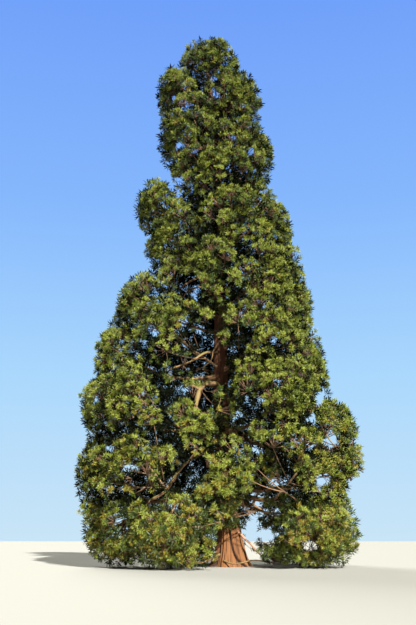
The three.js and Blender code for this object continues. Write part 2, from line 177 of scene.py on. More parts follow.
def closed_rings(rings):
    """Corners and faces of closed tubes: the rings of each in turn, and a point in the middle of both ends.

    rings[tube, ring, side] holds the corners, which turn leftwards round the way that the tube runs.
    """
    tubes, count, sides = rings.shape[:3]
    ends = rings[:, [0, -1]].mean(axis=2)
    points = np.concatenate([rings.reshape(tubes, count * sides, 3), ends], axis=1)
    here = np.arange(sides)
    after = (here + 1) % sides
    low = np.arange(count - 1)[:, None] * sides
    wall = [low + here, low + after, low + after + sides, low + here, low + after + sides, low + here + sides]
    foot = [np.full(sides, count * sides), after, here]
    tip = [np.full(sides, count * sides + 1), here + (count - 1) * sides, after + (count - 1) * sides]
    wall = np.stack(wall, axis=-1).reshape(-1, 3)
    one = np.concatenate([wall, np.stack(foot, axis=-1), np.stack(tip, axis=-1)])
    faces = one + np.arange(tubes)[:, None, None] * (count * sides + 2)
    return points.reshape(-1, 3), faces.reshape(-1, 3)


def new_piece(name, points, faces, materials, choice=None, smooth=True, **values):
    """A mesh object from corners and triangles.

    choice gives each face its material, and values are attributes with one number for each corner.
    """
    mesh = bpy.data.meshes.new(name)
    mesh.vertices.add(len(points))
    mesh.vertices.foreach_set("co", points.astype(np.float32).ravel())
    mesh.loops.add(faces.size)
    mesh.loops.foreach_set("vertex_index", faces.astype(np.int32).ravel())
    mesh.polygons.add(len(faces))
    mesh.polygons.foreach_set("loop_start", np.arange(0, faces.size, 3, dtype=np.int32))
    mesh.polygons.foreach_set("use_smooth", np.full(len(faces), smooth))
    for material in materials:
        mesh.materials.append(material)
    if choice is not None:
        mesh.polygons.foreach_set("material_index", choice.astype(np.int32))
    for key, value in values.items():
        mesh.attributes.new(key, "FLOAT", "POINT").data.foreach_set("value", value.astype(np.float32))
    mesh.update(calc_edges=True)
    piece = bpy.data.objects.new(name, mesh)
    bpy.context.scene.collection.objects.link(piece)
    return piece


def new_limb(name, rings, relief, bark):
    """A piece made of one closed tube, with the relief of each corner of its rings, and none at its ends."""
    points, faces = closed_rings(rings[None])
    return new_piece(name, points, faces, [bark], relief=np.append(relief.ravel(), [0, 0]))


class Value:
    """A value in a material: a socket, with the sums and products that add Math nodes behind it."""

    def __init__(self, tree, socket):
        self.tree = tree
        self.socket = socket

    def node(self, kind, settings, sockets, output=0):
        """Adds a node of a kind, with its settings first and then the values or links of its sockets."""
        made = self.tree.nodes.new(kind)
        for name, setting in settings.items():
            if name == "stops":
                made.color_ramp.elements[0].position, made.color_ramp.elements[0].color = setting[0]
                made.color_ramp.elements[1].position, made.color_ramp.elements[1].color = setting[-1]
                for place, colour in setting[1:-1]:
                    made.color_ramp.elements.new(place).color = colour
            else:
                setattr(made, name, setting)
        for name, value in sockets.items():
            if isinstance(value, Value):
                self.tree.links.new(value.socket, made.inputs[name])
            else:
                made.inputs[name].default_value = value
        return Value(self.tree, made.outputs[output])

    def math(self, operation, first, second):
        return self.node("ShaderNodeMath", {"operation": operation}, {0: first, 1: second})

    def __add__(self, other):
        return self.math("ADD", self, other)

    def __sub__(self, other):
        return self.math("SUBTRACT", self, other)

    def __rsub__(self, other):
        return self.math("SUBTRACT", other, self)

    def __mul__(self, other):
        return self.math("MULTIPLY", self, other)

    __radd__ = __add__
    __rmul__ = __mul__

    def mix(self, first, second):
        """A blend of two colours by this value."""
        settings = {"data_type": "RGBA", "clamp_factor": True}
        return self.node("ShaderNodeMix", settings, {0: self, 6: first, 7: second}, output=2)


def new_material(name, roughness, gloss=0.5):
    """A material, its shader, and the place on the object as a value."""
    material = bpy.data.materials.new(name)
    material.use_nodes = True
    tree = material.node_tree
    shader = tree.nodes["Principled BSDF"]
    shader.inputs["Roughness"].default_value = roughness
    shader.inputs["Specular IOR Level"].default_value = gloss
    place = Value(tree, None).node("ShaderNodeTexCoord", {}, {}, output=3)
    return material, shader, place


def bark_material(name, dark, warm, pale, fibre_rate, moss=None, shaded=None):
    """Fibrous bark: dark painted shade in the furrows, warm ridges, drawn-out fibres and weathered patches.

    fibre_rate is the number of fibres to a metre. moss covers what faces upwards. shaded is the colour
    of painted shade that the bark turns to high up, inside the crown, where the crown's shadow falls.
    """
    material, shader, place = new_material(name, BARK_ROUGHNESS)
    drawn_out = place.node("ShaderNodeMapping", {}, {"Vector": place, "Scale": (1, 1, 1 / FIBRE_LENGTH)})
    fibre_sockets = {"Vector": drawn_out, "Scale": fibre_rate, "Detail": FIBRE_DETAIL,
                     "Roughness": FIBRE_ROUGHNESS}
    fibres = place.node("ShaderNodeTexNoise", {}, fibre_sockets)
    patch_sockets = {"Vector": place, "Scale": PATCH_RATE, "Detail": PATCH_DETAIL}
    patches = place.node("ShaderNodeTexNoise", {}, patch_sockets)
    relief = place.node("ShaderNodeAttribute", {"attribute_name": "relief"}, {}, output=2)
    # Painted shade: the deeper a point lies in a furrow, the darker its colour.
    depth = relief + (fibres - 0.5) * FIBRE_SHADING + 1
    stops = list(zip(BARK_STOPS, [dark, warm, pale]))
    colour = place.node("ShaderNodeValToRGB", {"stops": stops}, {"Fac": depth * BARK_CONTRAST})
    stops = list(zip(WEATHERED_SPAN, [(0, 0, 0, 1), (1, 1, 1, 1)]))
    weathered = place.node("ShaderNodeValToRGB", {"stops": stops}, {"Fac": patches})
    colour = (weathered * WEATHERED_SHARE).mix(colour, pale)
    if moss:
        normal = place.node("ShaderNodeNewGeometry", {}, {}, output=1)
        upward = place.node("ShaderNodeSeparateXYZ", {}, {"Vector": normal}, output=2)
        patchy = upward + (patches - 0.5) * MOSS_PATCHINESS
        cover = place.node("ShaderNodeMapRange", {}, {"Value": patchy, **MOSS_SLOPES})
        colour = (cover * MOSS_SHARE).mix(colour, moss)
    # Painted shade: the bark darkens with height, inside the crown.
    if shaded:
        level = place.node("ShaderNodeSeparateXYZ", {}, {"Vector": place}, output=2)
        painted_shade = place.node("ShaderNodeMapRange", {}, {"Value": level, **SHADED_HEIGHTS})
        colour = (painted_shade * SHADED_SHARE).mix(colour, shaded)
    material.node_tree.links.new(colour.socket, shader.inputs["Base Color"])
    bump = place.node("ShaderNodeBump", {}, {**FIBRE_BUMP, "Height": fibres})
    material.node_tree.links.new(bump.socket, shader.inputs["Normal"])
    return material


random = np.random.default_rng(BARK_SEED)
angle = steps_round(TRUNK_SIDES)
height = (TRUNK_TIP * np.linspace(0, 1, TRUNK_RINGS) ** TRUNK_RING_POWER)[:, None]
relief = bark_relief(angle, height, BARK_RIDGES, random)
ridge = np.cos(BUTTRESSES * angle + np.sin(2 * angle))
radius = trunk_radius(height) * (1 + BUTTRESS_SHARE * ridge * np.exp(-height / BUTTRESS_FALL))
radius = radius + FURROW_DEPTH * relief * np.minimum(1, radius / TRUNK_RADIUS)
for bearing, swing, depth in CLEFTS:
    at = np.radians(bearing + swing * np.exp(-height / CLEFT_SWING_FALL))
    away = (angle - at + np.pi) % (2 * np.pi) - np.pi
    cleft = np.exp(-((away / CLEFT_WIDTH) ** 2)) * np.exp(-height / CLEFT_FALL)
    radius = radius - depth * cleft
    # The bark is painted darker in the cleft, as shade.
    relief = relief - CLEFT_PAINTED_SHADE * cleft
rings = trunk_middle(height[:, 0])[:, None] + radius[..., None] * level_vectors(angle)
trunk_bark = bark_material("trunk_bark", BARK_DARK, BARK_WARM, BARK_PALE, fibre_rate=9, shaded=BARK_IN_SHADE)
trunk = new_limb("trunk_with_bark", rings, relief, trunk_bark)
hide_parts("trunk")
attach(trunk, "root")

# The crown, tier by tier from the ground, as the solids have it. height is that of the middle of the tier's
# masses of foliage, and half their half sizes outwards, sideways and upwards. Each mass is [bearing, distance
# from the trunk, rise above the tier's height, size factor]. foot is how far below the tier's height its
# boughs leave the trunk, and girth how thick they are. The skirt hangs from the low tier's boughs.
SIDES = ["right", "back_right", "back", "back_left", "left", "front_left", "front", "front_right"]
TIERS = [
    {"name": "skirt", "height": 1.9, "half": [2.35, 4.0, 2.7], "hangs_from": "low",
     "masses": [[189, 6.6, 0.4, 0.92], [233, 5.8], [332, 5.7, 0.1, 0.94], [38, 5.9], [115, 5.9]]},
    {"name": "low", "height": 5.4, "half": [2.4, 3.9, 3.1], "foot": 0.9, "girth": 1.15, "boughs": SIDES,
     "masses": [[183, 6.8, -0.3], [225, 6.3], [260, 4.2, -1.0, 0.76], [319, 5.8], [3, 6.2, 0.3, 0.93],
                [62, 6.0], [124, 6.2]]},
    {"name": "lower_middle", "height": 9.2, "half": [2.45, 3.9, 3.2], "foot": 1.2, "girth": 1,
     "boughs": ["right", "back_right", "left", "front_left", "front_right"],
     "masses": [[171, 6.6, 0.1, 0.96], [216, 6.0], [248, 4.8, -1.3, 0.74], [307, 5.4],
                [357, 6.3, -1.7, 0.8], [42, 5.6], [103, 5.8]]},
    {"name": "middle", "height": 12.9, "half": [2.35, 3.5, 3.2], "foot": 1.6, "girth": 0.85,
     "boughs": ["left"],
     "masses": [[184, 5.8, -0.5, 0.93], [227, 4.6, 0.3], [306, 4.3], [2, 4.5, -1.1], [66, 4.5], [127, 4.6]]},
    {"name": "shoulder", "height": 16.7, "half": [2.15, 3.4, 3.1],
     "masses": [[187, 4.7, -1.4, 0.96], [250, 3.5, 0.3], [315, 3.3, 0.1], [10, 4.1, -0.9, 0.92],
                [98, 3.6, 0, 1.05]]},
    {"name": "upper_middle", "height": 20.4, "half": [2.05, 3.4, 3.1],
     "masses": [[210, 2.95, -0.6], [292, 2.9, 0.2], [12, 3.7, -2.2, 0.85], [112, 3.0]]},
    {"name": "upper", "height": 24.0, "half": [2.0, 3.1, 3.0],
     "masses": [[181, 4.2, -1.35, 0.72], [266, 2.6, 0.2], [4, 3.35, -2.8, 0.7], [88, 2.5]]},
    {"name": "high", "height": 27.7, "half": [1.95, 3.2, 3.0],
     "masses": [[206, 2.2, -0.2], [330, 1.9, -1.6], [92, 2.1]]},
    {"name": "crown", "height": 31.1, "half": [1.75, 2.8, 2.6],
     "masses": [[182, 2.35, 0.05, 0.88], [322, 1.75, -0.9], [82, 1.7, 0.2]]},
]
TIP = {"name": "top", "height": 33.6, "half": [2.2, 1.9, 2.15], "masses": [[0, 0.15]]}
MASS_CLEARANCE = 0.025
LIMB_CLEARANCE = 0.035
GROUND_CLEARANCE = 0.06
LOWEST = 0.01  # needles that would reach lower lie on the ground
UP = np.array([0.0, 0.0, 1.0])
STEEP = 0.9  # a unit vector that rises more than this counts as upright
ALMOST_NONE = 1e-9


def unit(vectors):
    """Vectors drawn out or in to a length of one."""
    return vectors / np.linalg.norm(vectors, axis=-1, keepdims=True)


def outward(bearing):
    """The level unit vector of a bearing."""
    return level_vectors(np.radians(bearing))


def lay_out_mass(tier, bearing, distance, rise=0, factor=1):
    """A mass of foliage: its name, its place, its half sizes and the axes that they lie along."""
    side = SIDES[round(bearing / 360 * len(SIDES)) % len(SIDES)]
    out = outward(bearing)
    return {
        "tier": tier,
        "name": "top" if tier is TIP else tier["name"] + "_" + side,
        "side": side,
        "bearing": bearing,
        "out": out,
        "middle": trunk_middle(np.array(tier["height"] + rise)) + out * distance,
        "half": np.array(tier["half"]) * factor,
        "axes": np.stack([out, np.cross(UP, out), UP]),
        "bough": None,
        "below": None,
    }


def reach_of(mass, directions):
    """How far the mass's ellipsoid reaches from its middle in each direction."""
    return 1 / np.linalg.norm(directions @ mass["axes"].T / mass["half"], axis=-1)


def own_space(mass, masses):
    """The planes that bound a mass's own space, towards the others, the ground and the trunk."""
    normals = []
    offsets = []
    for other in masses:
        if other is mass:
            continue
        apart = other["middle"] - mass["middle"]
        distance = np.linalg.norm(apart)
        normal = apart / distance
        own = reach_of(mass, normal)
        normals.append(normal)
        offsets.append(distance * own / (own + reach_of(other, normal)) - MASS_CLEARANCE)
    normals.append(-UP)
    if mass["tier"] is TIP:
        offsets.append(mass["middle"][2] - TRUNK_TIP - LIMB_CLEARANCE)
        return np.array(normals), np.array(offsets)
    offsets.append(mass["middle"][2] - GROUND_CLEARANCE)
    heights = np.maximum(0, mass["middle"][2] + np.array([-1, 0, 1]) * mass["half"][2])
    bark_side = trunk_middle(heights) + mass["out"] * (trunk_radius(heights) + 2 * LIMB_CLEARANCE)[:, None]
    normals.append(-mass["out"])
    offsets.append(np.min((bark_side - mass["middle"]) @ -mass["out"]))
    return np.array(normals), np.array(offsets)


def reach_of_space(mass, directions):
    """How far the mass's own space reaches from its middle in each direction."""
    facing = directions @ mass["normals"].T
    return np.where(facing > 0, mass["offsets"] / np.maximum(facing, ALMOST_NONE), np.inf).min(axis=1)


masses = [lay_out_mass(tier, *sizes) for tier in [*TIERS, TIP] for sizes in tier["masses"]]
for mass in masses:
    mass["normals"], mass["offsets"] = own_space(mass, masses)

# The boughs. They are the tree's thickest limbs: they leave the trunk at a swollen collar, sag, and turn up
# at the tip, where they enter their masses. Their bark is thinner than the trunk's, with moss on top.
BOUGH_RADII = [0.175, 0.092]
BOUGH_END = 0.9
BOUGH_DROP = 0.35
BOUGH_BEND = 0.55
BOUGH_SAG = 0.42
BOUGH_SWAY = 0.24
BOUGH_SIDES = 28
BOUGH_STEPS = 60
COLLAR = 0.6  # how much thicker a bough is where it leaves the trunk
COLLAR_RUN = 0.06
BOUGH_FURROW_DEPTH = 0.014
BOUGH_RIDGES = [(4, 0.8, 1.2, 0.5), (7, 1.0, 1.6, 0.35), (11, 0.6, 2.2, 0.2)]
BOUGH_BARK = [BARK_DARK, (0.23, 0.12, 0.06, 1), (0.42, 0.27, 0.16, 1)]
MOSS = (0.14, 0.14, 0.022, 1)


def bezier(start, bend, end, shares):
    """Points at shares of the way along curves that leave start towards bend and come to end from it."""
    along = shares[:, None]
    curve = (1 - along) ** 2 * start[..., None, :] + 2 * along * (1 - along) * bend[..., None, :]
    return curve + along**2 * end[..., None, :]


def tube_rings(paths, radii, sides):
    """Rings round paths: at each step, radius times (side cos a + across sin a), square to the path."""
    along = unit(np.gradient(paths, axis=-2))
    run = unit(paths[..., -1, :] - paths[..., 0, :])
    steep = np.abs(run[..., 2]) > STEEP
    reference = np.where(steep[..., None], [1.0, 0.0, 0.0], UP)[..., None, :]
    side = unit(np.cross(along, reference))[..., None, :]
    across = np.cross(along[..., None, :], side)
    angle = steps_round(sides)[:, None]
    return paths[..., None, :] + radii[..., None] * (side * np.cos(angle) + across * np.sin(angle))


def lay_out_bough(mass):
    """A bough's three guides. It ends at its mass, or between that and the mass below that shares it."""
    tier = mass["tier"]
    foot = trunk_middle(np.array(tier["height"] - tier["foot"]))
    tip = mass["middle"] - mass["out"] * BOUGH_END * mass["half"][0]
    if mass["below"]:
        tip[2] = (mass["middle"][2] + mass["below"]["middle"][2]) / 2
    else:
        tip[2] -= BOUGH_DROP * mass["half"][2]
    bend = foot + (tip - foot) * BOUGH_BEND + mass["axes"][1] * BOUGH_SWAY * math.sin(mass["bearing"])
    bend[2] -= BOUGH_SAG
    return {"name": "bough_" + mass["name"], "guides": [foot, bend, tip], "girth": tier["girth"]}


for mass in masses:
    carrier_tier = mass["tier"].get("hangs_from")
    if carrier_tier:
        carriers = [m for m in masses if m["tier"]["name"] == carrier_tier]
        above = min(carriers, key=lambda m: abs(m["bearing"] - mass["bearing"]))
        above["below"] = mass
for mass in masses:
    if mass["side"] in mass["tier"].get("boughs", []):
        mass["bough"] = lay_out_bough(mass)
        if mass["below"]:
            mass["below"]["bough"] = mass["bough"]

bough_bark = bark_material("bough_bark", *BOUGH_BARK, fibre_rate=14, moss=MOSS)
shares = np.linspace(0, 1, BOUGH_STEPS)
angle = steps_round(BOUGH_SIDES)
for mass in masses:
    bough = mass["bough"]
    if not bough or "hangs_from" in mass["tier"]:
        continue
    foot, bend, tip = bough["guides"]
    path = bezier(foot, bend, tip, shares)
    length = np.linalg.norm(tip - foot)
    leaves_trunk = trunk_radius(foot[2]) / length
    collar = 1 + COLLAR * np.exp(-np.maximum(shares - leaves_trunk, 0) / COLLAR_RUN)
    thick = np.linspace(*BOUGH_RADII, BOUGH_STEPS) * (bough["girth"] * collar)
    relief = bark_relief(angle, (shares * length)[:, None], BOUGH_RIDGES, random)
    radius = thick[:, None] + BOUGH_FURROW_DEPTH * relief
    rings = tube_rings(path, radius, BOUGH_SIDES)
    piece = new_limb(bough["name"] + "_with_bark", rings, relief, bough_bark)
    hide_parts(bough["name"])
    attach(piece, "root")

# The bare branch. It is dead wood without bark, bleached by the sun, that arches from the trunk's foot down
# to the ground on the right.
BARE_BRANCH = {"bearing": 322, "height": 2.35, "reach": 2.5, "fall": 1.95, "arch": 0.26}
BARE_BRANCH_RADII = [0.088, 0.04]
BARE_BRANCH_WAVE = 0.035 * np.array([0.3, 1, 0.5])
BARE_BRANCH_WAVE_RATE = 23
BARE_BRANCH_FURROW_DEPTH = 0.006
DEAD_WOOD = [(0.10, 0.05, 0.03, 1), (0.42, 0.22, 0.13, 1), (0.62, 0.38, 0.26, 1)]
foot = trunk_middle(np.array(BARE_BRANCH["height"]))
tip = foot + outward(BARE_BRANCH["bearing"]) * BARE_BRANCH["reach"] - UP * BARE_BRANCH["fall"]
bend = (foot + tip) / 2 + UP * BARE_BRANCH["arch"]
path = bezier(foot, bend, tip, shares)
path += np.sin(shares * BARE_BRANCH_WAVE_RATE)[:, None] * BARE_BRANCH_WAVE
relief = bark_relief(angle, (shares * BARE_BRANCH["reach"])[:, None], BOUGH_RIDGES[:2], random)
radius = np.linspace(*BARE_BRANCH_RADII, BOUGH_STEPS)[:, None] + BARE_BRANCH_FURROW_DEPTH * relief
dead_wood = bark_material("dead_wood", *DEAD_WOOD, fibre_rate=20)
piece = new_limb("bare_branch_of_dead_wood", tube_rings(path, radius, BOUGH_SIDES), relief, dead_wood)
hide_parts("bare_branch")
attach(piece, "root")

# The limbs that show. In the openings of the crown thin limbs cross in front of the trunk and hang from the
# boughs. Each row is the radii at foot and tip, then a few points from the limb that carries it to its tip.
SHOWING_LIMBS = {
    "mossy_limb": [
        (0.22, 0.13), (-0.5, 0.0, 10.7), (-1.4, -1.2, 10.65), (-1.8, -2.0, 10.0), (-2.05, -2.6, 8.9),
    ],
    "stub_of_mossy_limb": [(0.1, 0.05), (-1.7, -1.9, 10.1), (-2.2, -2.2, 10.3), (-2.65, -2.6, 10.25)],
    "long_limb": [
        (0.1, 0.05), (-0.5, 0.0, 12.85), (-1.45, -1.4, 12.5), (-2.3, -2.4, 11.75), (-3.5, -3.4, 11.05),
    ],
    "winding_limb": [
        (0.055, 0.03), (-0.5, 0.0, 14.9), (-0.4, -0.95, 13.7), (-0.95, -1.3, 12.65), (-1.1, -1.5, 12.0),
        (-1.55, -1.6, 11.55), (-1.25, -1.7, 11.1),
    ],
    "upper_mossy_limb": [(0.09, 0.05), (-0.5, 0.0, 18.2), (-2.05, -1.4, 17.3), (-3.0, -2.4, 16.35)],
    "upper_thin_limb": [(0.07, 0.04), (-0.5, 0.0, 17.3), (-2.3, -1.6, 16.55), (-2.95, -2.2, 15.6)],
    "sweeping_limb": [
        (0.13, 0.06), (-0.35, 0.0, 7.0), (-1.55, -1.6, 6.45), (-2.65, -3.0, 5.6), (-3.65, -4.4, 4.05),
        (-4.4, -5.2, 3.5), (-4.95, -5.8, 2.7),
    ],
    "sagging_limb": [
        (0.08, 0.035), (-0.3, 0.0, 6.1), (1.2, -1.4, 5.45), (2.15, -2.6, 4.55), (2.7, -3.2, 4.2),
        (3.35, -3.8, 4.25),
    ],
    "rising_limb": [(0.06, 0.03), (1.4, -1.65, 5.3), (1.75, -2.2, 5.55), (2.0, -2.6, 6.0), (1.8, -2.9, 6.7)],
    "outer_limb": [(0.06, 0.03), (4.0, -0.8, 7.25), (5.4, -1.4, 7.8), (5.9, -1.8, 7.1), (6.3, -2.0, 6.55)],
    "lower_outer_limb": [
        (0.06, 0.03), (4.0, -0.8, 7.25), (5.45, -1.6, 6.85), (5.95, -2.0, 6.3), (6.7, -2.2, 6.15),
    ],
    "forked_limb": [(0.075, 0.035), (-0.1, 0.0, 3.9), (2.1, -2.2, 3.0), (4.1, -4.2, 3.0), (4.85, -4.8, 3.25)],
    "fork_of_limb": [(0.045, 0.03), (4.05, -4.15, 3.0), (3.5, -4.4, 3.6), (2.9, -4.6, 4.0)],
    "ground_limb_right": [
        (0.05, 0.03), (-0.4, -1.1, 0.35), (0.25, -1.7, 0.2), (1.3, -1.9, 0.4), (2.1, -2.2, 0.3),
    ],
    "ground_limb_left": [
        (0.07, 0.04), (-0.6, -0.9, 0.7), (-1.75, -1.6, 0.25), (-3.05, -3.0, 0.5), (-4.3, -4.4, 0.25),
    ],
}
LIMB_SIDES = 14
LIMB_STEPS = 40
LIMB_RUN = 3  # the length over which the bark of each is laid out
LIMB_KNOTS = 0.12  # how far a limb swells and shrinks on its way
LIMB_KNOT_RATES = [17, 41]
LIMB_FURROW_SHARE = 0.12
LIMB_BARK = [BARK_DARK, (0.21, 0.11, 0.055, 1), (0.36, 0.23, 0.13, 1)]
# Painted shade: the sweeping limb lies in the crown's shadow, so its bark is painted darker.
SWEEP_PAINTED_SHADE = -0.4  # the sweeping limb's bark is darker than the others'


def smooth_path(knots, count):
    """A smooth curve through its knots.

    Between two of them it is a cubic, whose slope at each knot is half the way from the knot before it to
    the knot after it.
    """
    ends = np.concatenate([2 * knots[:1] - knots[1:2], knots, 2 * knots[-1:] - knots[-2:-1]])
    at = np.linspace(0, len(knots) - 1, count)
    first = np.minimum(at.astype(int), len(knots) - 2)
    share = (at - first)[:, None]
    before, start, end, after = (ends[first + k] for k in range(4))
    rise, fall = (end - before) / 2, (after - start) / 2
    cubic = 2 * (start - end) + rise + fall
    square = 3 * (end - start) - 2 * rise - fall
    return start + rise * share + square * share**2 + cubic * share**3


limb_bark = bark_material("limb_bark", *LIMB_BARK, fibre_rate=14, moss=MOSS)
angle = steps_round(LIMB_SIDES)
shares = np.linspace(0, 1, LIMB_STEPS)
for name, (radii, *knots) in SHOWING_LIMBS.items():
    path = smooth_path(np.array(knots), LIMB_STEPS)
    relief = bark_relief(angle, (shares * LIMB_RUN)[:, None], BOUGH_RIDGES[:2], random)
    knotty = 1 + LIMB_KNOTS * np.sin(shares * LIMB_KNOT_RATES[0]) * np.sin(shares * LIMB_KNOT_RATES[1])
    thick = np.linspace(*radii, LIMB_STEPS) * knotty
    radius = thick[:, None] * (1 + LIMB_FURROW_SHARE * relief)
    # The sweeping limb's bark is painted darker, as shade.
    relief = relief + (SWEEP_PAINTED_SHADE if name == "sweeping_limb" else 0)
    piece = new_limb(name, tube_rings(path, radius, LIMB_SIDES), relief, limb_bark)
    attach(piece, "root")

# The openings. The crown is open in places. Through the sky gaps light shows from behind it, so they go right
# through. The dark openings are only in its front, before the trunk. Each is an ellipse in the picture, in
# picture points: how far its middle lies across and down, and half its width and height.
SKY_GAPS = np.array([
    (197, 294, 3, 8), (185, 391, 5, 4), (169, 370, 3, 3), (199, 377, 3, 3), (185, 345, 3, 4),
    (184, 323, 3, 4), (201, 347, 2, 3), (201, 330, 2, 3), (141, 341, 3, 3), (122, 342, 3, 3),
    (151, 330, 3, 4), (150, 370, 3, 3), (97, 400, 3, 3), (111, 449, 4, 4), (128, 468, 5, 4),
    (170, 484, 4, 2), (193, 482, 2, 2), (174, 508, 5, 3), (246, 428, 3, 3), (256, 450, 4, 5),
    (277, 484, 8, 5), (256, 498, 7, 8), (312, 421, 5, 5), (298, 441, 5, 4), (311, 447, 6, 4),
    (330, 443, 7, 9), (323, 479, 6, 7), (310, 546, 8, 5), (252, 528, 7, 14), (275, 513, 6, 3),
    (268, 538, 6, 6), (319, 399, 4, 8), (355, 488, 9, 12), (357, 441, 4, 3), (237, 303, 2, 3),
    (244, 312, 3, 3), (262, 305, 3, 3), (234, 350, 2, 5), (274, 342, 4, 4), (279, 382, 5, 3),
    (260, 400, 3, 3), (240, 416, 3, 3), (215, 80, 3, 3), (217, 96, 3, 3), (187, 106, 4, 3),
    (172, 98, 3, 3), (195, 152, 3, 3), (180, 146, 4, 3), (251, 152, 3, 4), (232, 138, 3, 3),
    (181, 180, 3, 3), (229, 169, 4, 4),
])
DARK_OPENINGS = np.array([
    (211, 362, 16, 26), (203, 398, 12, 13), (216, 324, 6, 9), (189, 287, 11, 13), (184, 364, 14, 7),
    (225, 406, 4, 9), (197, 338, 8, 8),
    (140, 480, 10, 14), (176, 480, 14, 12), (155, 500, 12, 8), (197, 465, 9, 9), (232, 549, 17, 19),
    (214, 92, 2, 5), (217, 140, 2, 6), (216, 205, 2, 5),
])
OPENING_EDGE = 1.5  # picture points by which foliage stays back from an opening's edge
# A shaft between the sprays lets the sun in on the trunk's foot.
SUN_SLANT = 56  # degrees from straight above
SUN_BEARING = 291
SHAFT_FOOT = np.array([0.5, -1.15, 1.2])
SHAFT_RADIUS = 1.2


def in_openings(points, openings):
    """Whether points fall inside one of the openings in the picture."""
    inside = np.zeros(points.shape[:-1], bool)
    at = pictured(points)
    for across, down, half_width, half_height in openings:
        away = (at - [across, down]) / [half_width + OPENING_EDGE, half_height + OPENING_EDGE]
        inside |= (away**2).sum(axis=-1) < 1
    return inside


def in_shaft(points):
    """Whether points lie within SHAFT_RADIUS of the line from the trunk's foot to the sun."""
    slant, bearing = np.radians([SUN_SLANT, SUN_BEARING])
    sunward = np.array([np.sin(slant) * np.cos(bearing), np.sin(slant) * np.sin(bearing), np.cos(slant)])
    away = points - SHAFT_FOOT
    along = away @ sunward
    aside = np.linalg.norm(away - along[..., None] * sunward, axis=-1)
    return (along > 0) & (aside < SHAFT_RADIUS)


def stays_out_of_openings(points):
    """Whether points leave free the sky gaps, the shaft and, in front of the trunk, the dark openings."""
    dark = in_openings(points, DARK_OPENINGS) & (points[..., 1] < 0)
    return ~(in_openings(points, SKY_GAPS) | in_shaft(points) | dark)


# The stems, branches and plumes. From its stem each mass sends branches out to just under its surface, and
# each branch ends in a plume: a fountain of twigs that sweeps outwards and up. Only plumes near the crown's
# surface get any light, so none grow deeper than that, and here and there one is missing.
STEM_DROP = 0.45
STEM_END = 0.1
STEM_LEAD = 0.3
STEM_HOLD = 1.0  # how far below the trunk's tip the top's stem starts
STEM_RADII = [0.1, 0.05]
STEM_STEPS = 9
STEM_SIDES = 8
BRANCH_START = 0.35  # the share of its length from which a stem bears branches
BRANCH_RADII = [0.035, 0.014]
BRANCH_STEPS = 4
BRANCH_SIDES = 4
BRANCH_SAG = 0.25
PLUME_SPACING = 1.45
PLUME_REACH = 1.0  # from a plume's root to the tips of its needles, on a mass of the mean half size below
PLUME_MASS = 3.1
PLUME_UNEVENNESS = 0.35
PLUME_TURN_UP = 0.7
PLUME_LIFTS = [0.5, 1.2]  # the range over which a plume's turn upwards varies
PLUME_ROOT = 0.9  # how far in from the surface a plume's root is, as a share of its length
PLUME_GAPS = 0.05
SHADED_DEPTH = 1.0
CREASE_FILL = 7  # the lower, the more foliage fills the creases between masses
CROWN_SLOPE = 0.45  # how much the crown's surface faces upwards
UNDERSIDE_HEIGHT = 6.5  # below this the undersides of the masses show as well
BILLOW = 0.12  # how far the crown swells and sinks on its masses' ellipsoids
BILLOW_MIDDLE = 0.92
TRIAL_SHARES = np.linspace(0.9, 1.3, 17)
PLUME_DEPTHS = 0.25  # and how far each plume stands behind that, as shares of the way out
FILL_FOOT = 1.2
FILL_SPACING = 1.25
FILL_DEPTH = 0.95
FILL_BEARINGS = 40
FILL_TRIALS = np.arange(0.0, 10, 0.15)
BILLOW_WAVES = np.array([[1.9, 0.7, 1.3], [-0.8, 2.1, 1.7], [1.2, -1.5, 2.3]])
SEED = 20260
GOLDEN_ANGLE = math.pi * (3 - math.sqrt(5))
ANY_TURN = 6.3  # radians, just over a full turn


def spiral(count, lowest=-1.0):
    """Unit vectors spread evenly over a sphere, or over its cap above lowest, by the golden angle."""
    step = np.arange(count)
    rise = 1 - (1 - lowest) * (step + 0.5) / count
    flat = np.sqrt(1 - rise**2)
    return np.stack([flat * np.cos(GOLDEN_ANGLE * step), flat * np.sin(GOLDEN_ANGLE * step), rise], axis=-1)


def turned(vectors, axes, turns):
    """Vectors given about +Z, brought round to stand about axes, each set turned about its own axis."""
    reference = np.where(np.abs(axes[..., 2:]) > STEEP, [1.0, 0.0, 0.0], UP)
    side = unit(np.cross(axes, reference))
    across = np.cross(axes, side)
    first = np.cos(turns)[..., None] * side + np.sin(turns)[..., None] * across
    second = np.cross(axes, first)
    x, y, z = (vectors[..., k : k + 1] for k in range(3))
    return x * first[..., None, :] + y * second[..., None, :] + z * axes[..., None, :]


def fountain(axes, count, lowest, scatter, random):
    """Directions that spread evenly about each axis, each set turned at random and a little scattered."""
    directions = turned(spiral(count, lowest), axes, random.uniform(0, ANY_TURN, len(axes)))
    return unit(directions + random.normal(scale=scatter, size=directions.shape))


def share_of_reach(mass, points):
    """How far out points lie, as a share of the way from the mass's middle to its ellipsoid's surface."""
    return np.linalg.norm((points - mass["middle"]) @ mass["axes"].T / mass["half"], axis=-1)


def fullness(points):
    """How deep in the crown points lie: the sum, over the masses, of e to the power of CREASE_FILL times the
    depth under the ellipsoid as a share of the way in. It is 1 on a mass's own surface, and more in a crease.
    """
    return sum(np.exp(CREASE_FILL * (1 - share_of_reach(mass, points))) for mass in masses)


def in_the_open(points):
    """Whether points lie outside every mass's ellipsoid."""
    return np.min([share_of_reach(mass, points) for mass in masses], axis=0) > 1


def billow(points):
    """A slow swell in space, from -1 to 1: the mean of three slanting sine waves."""
    return np.sin(points @ BILLOW_WAVES.T).mean(axis=-1)


def spread_over(mass, area_of_each, random):
    """Directions from a mass's middle on a spiral turned at random, each with as much of its surface."""
    area = 4 * math.pi * np.prod(mass["half"]) ** (2 / 3)
    directions = spiral(round(area / area_of_each))
    return turned(directions, unit(random.normal(size=3)), random.uniform(0, ANY_TURN))


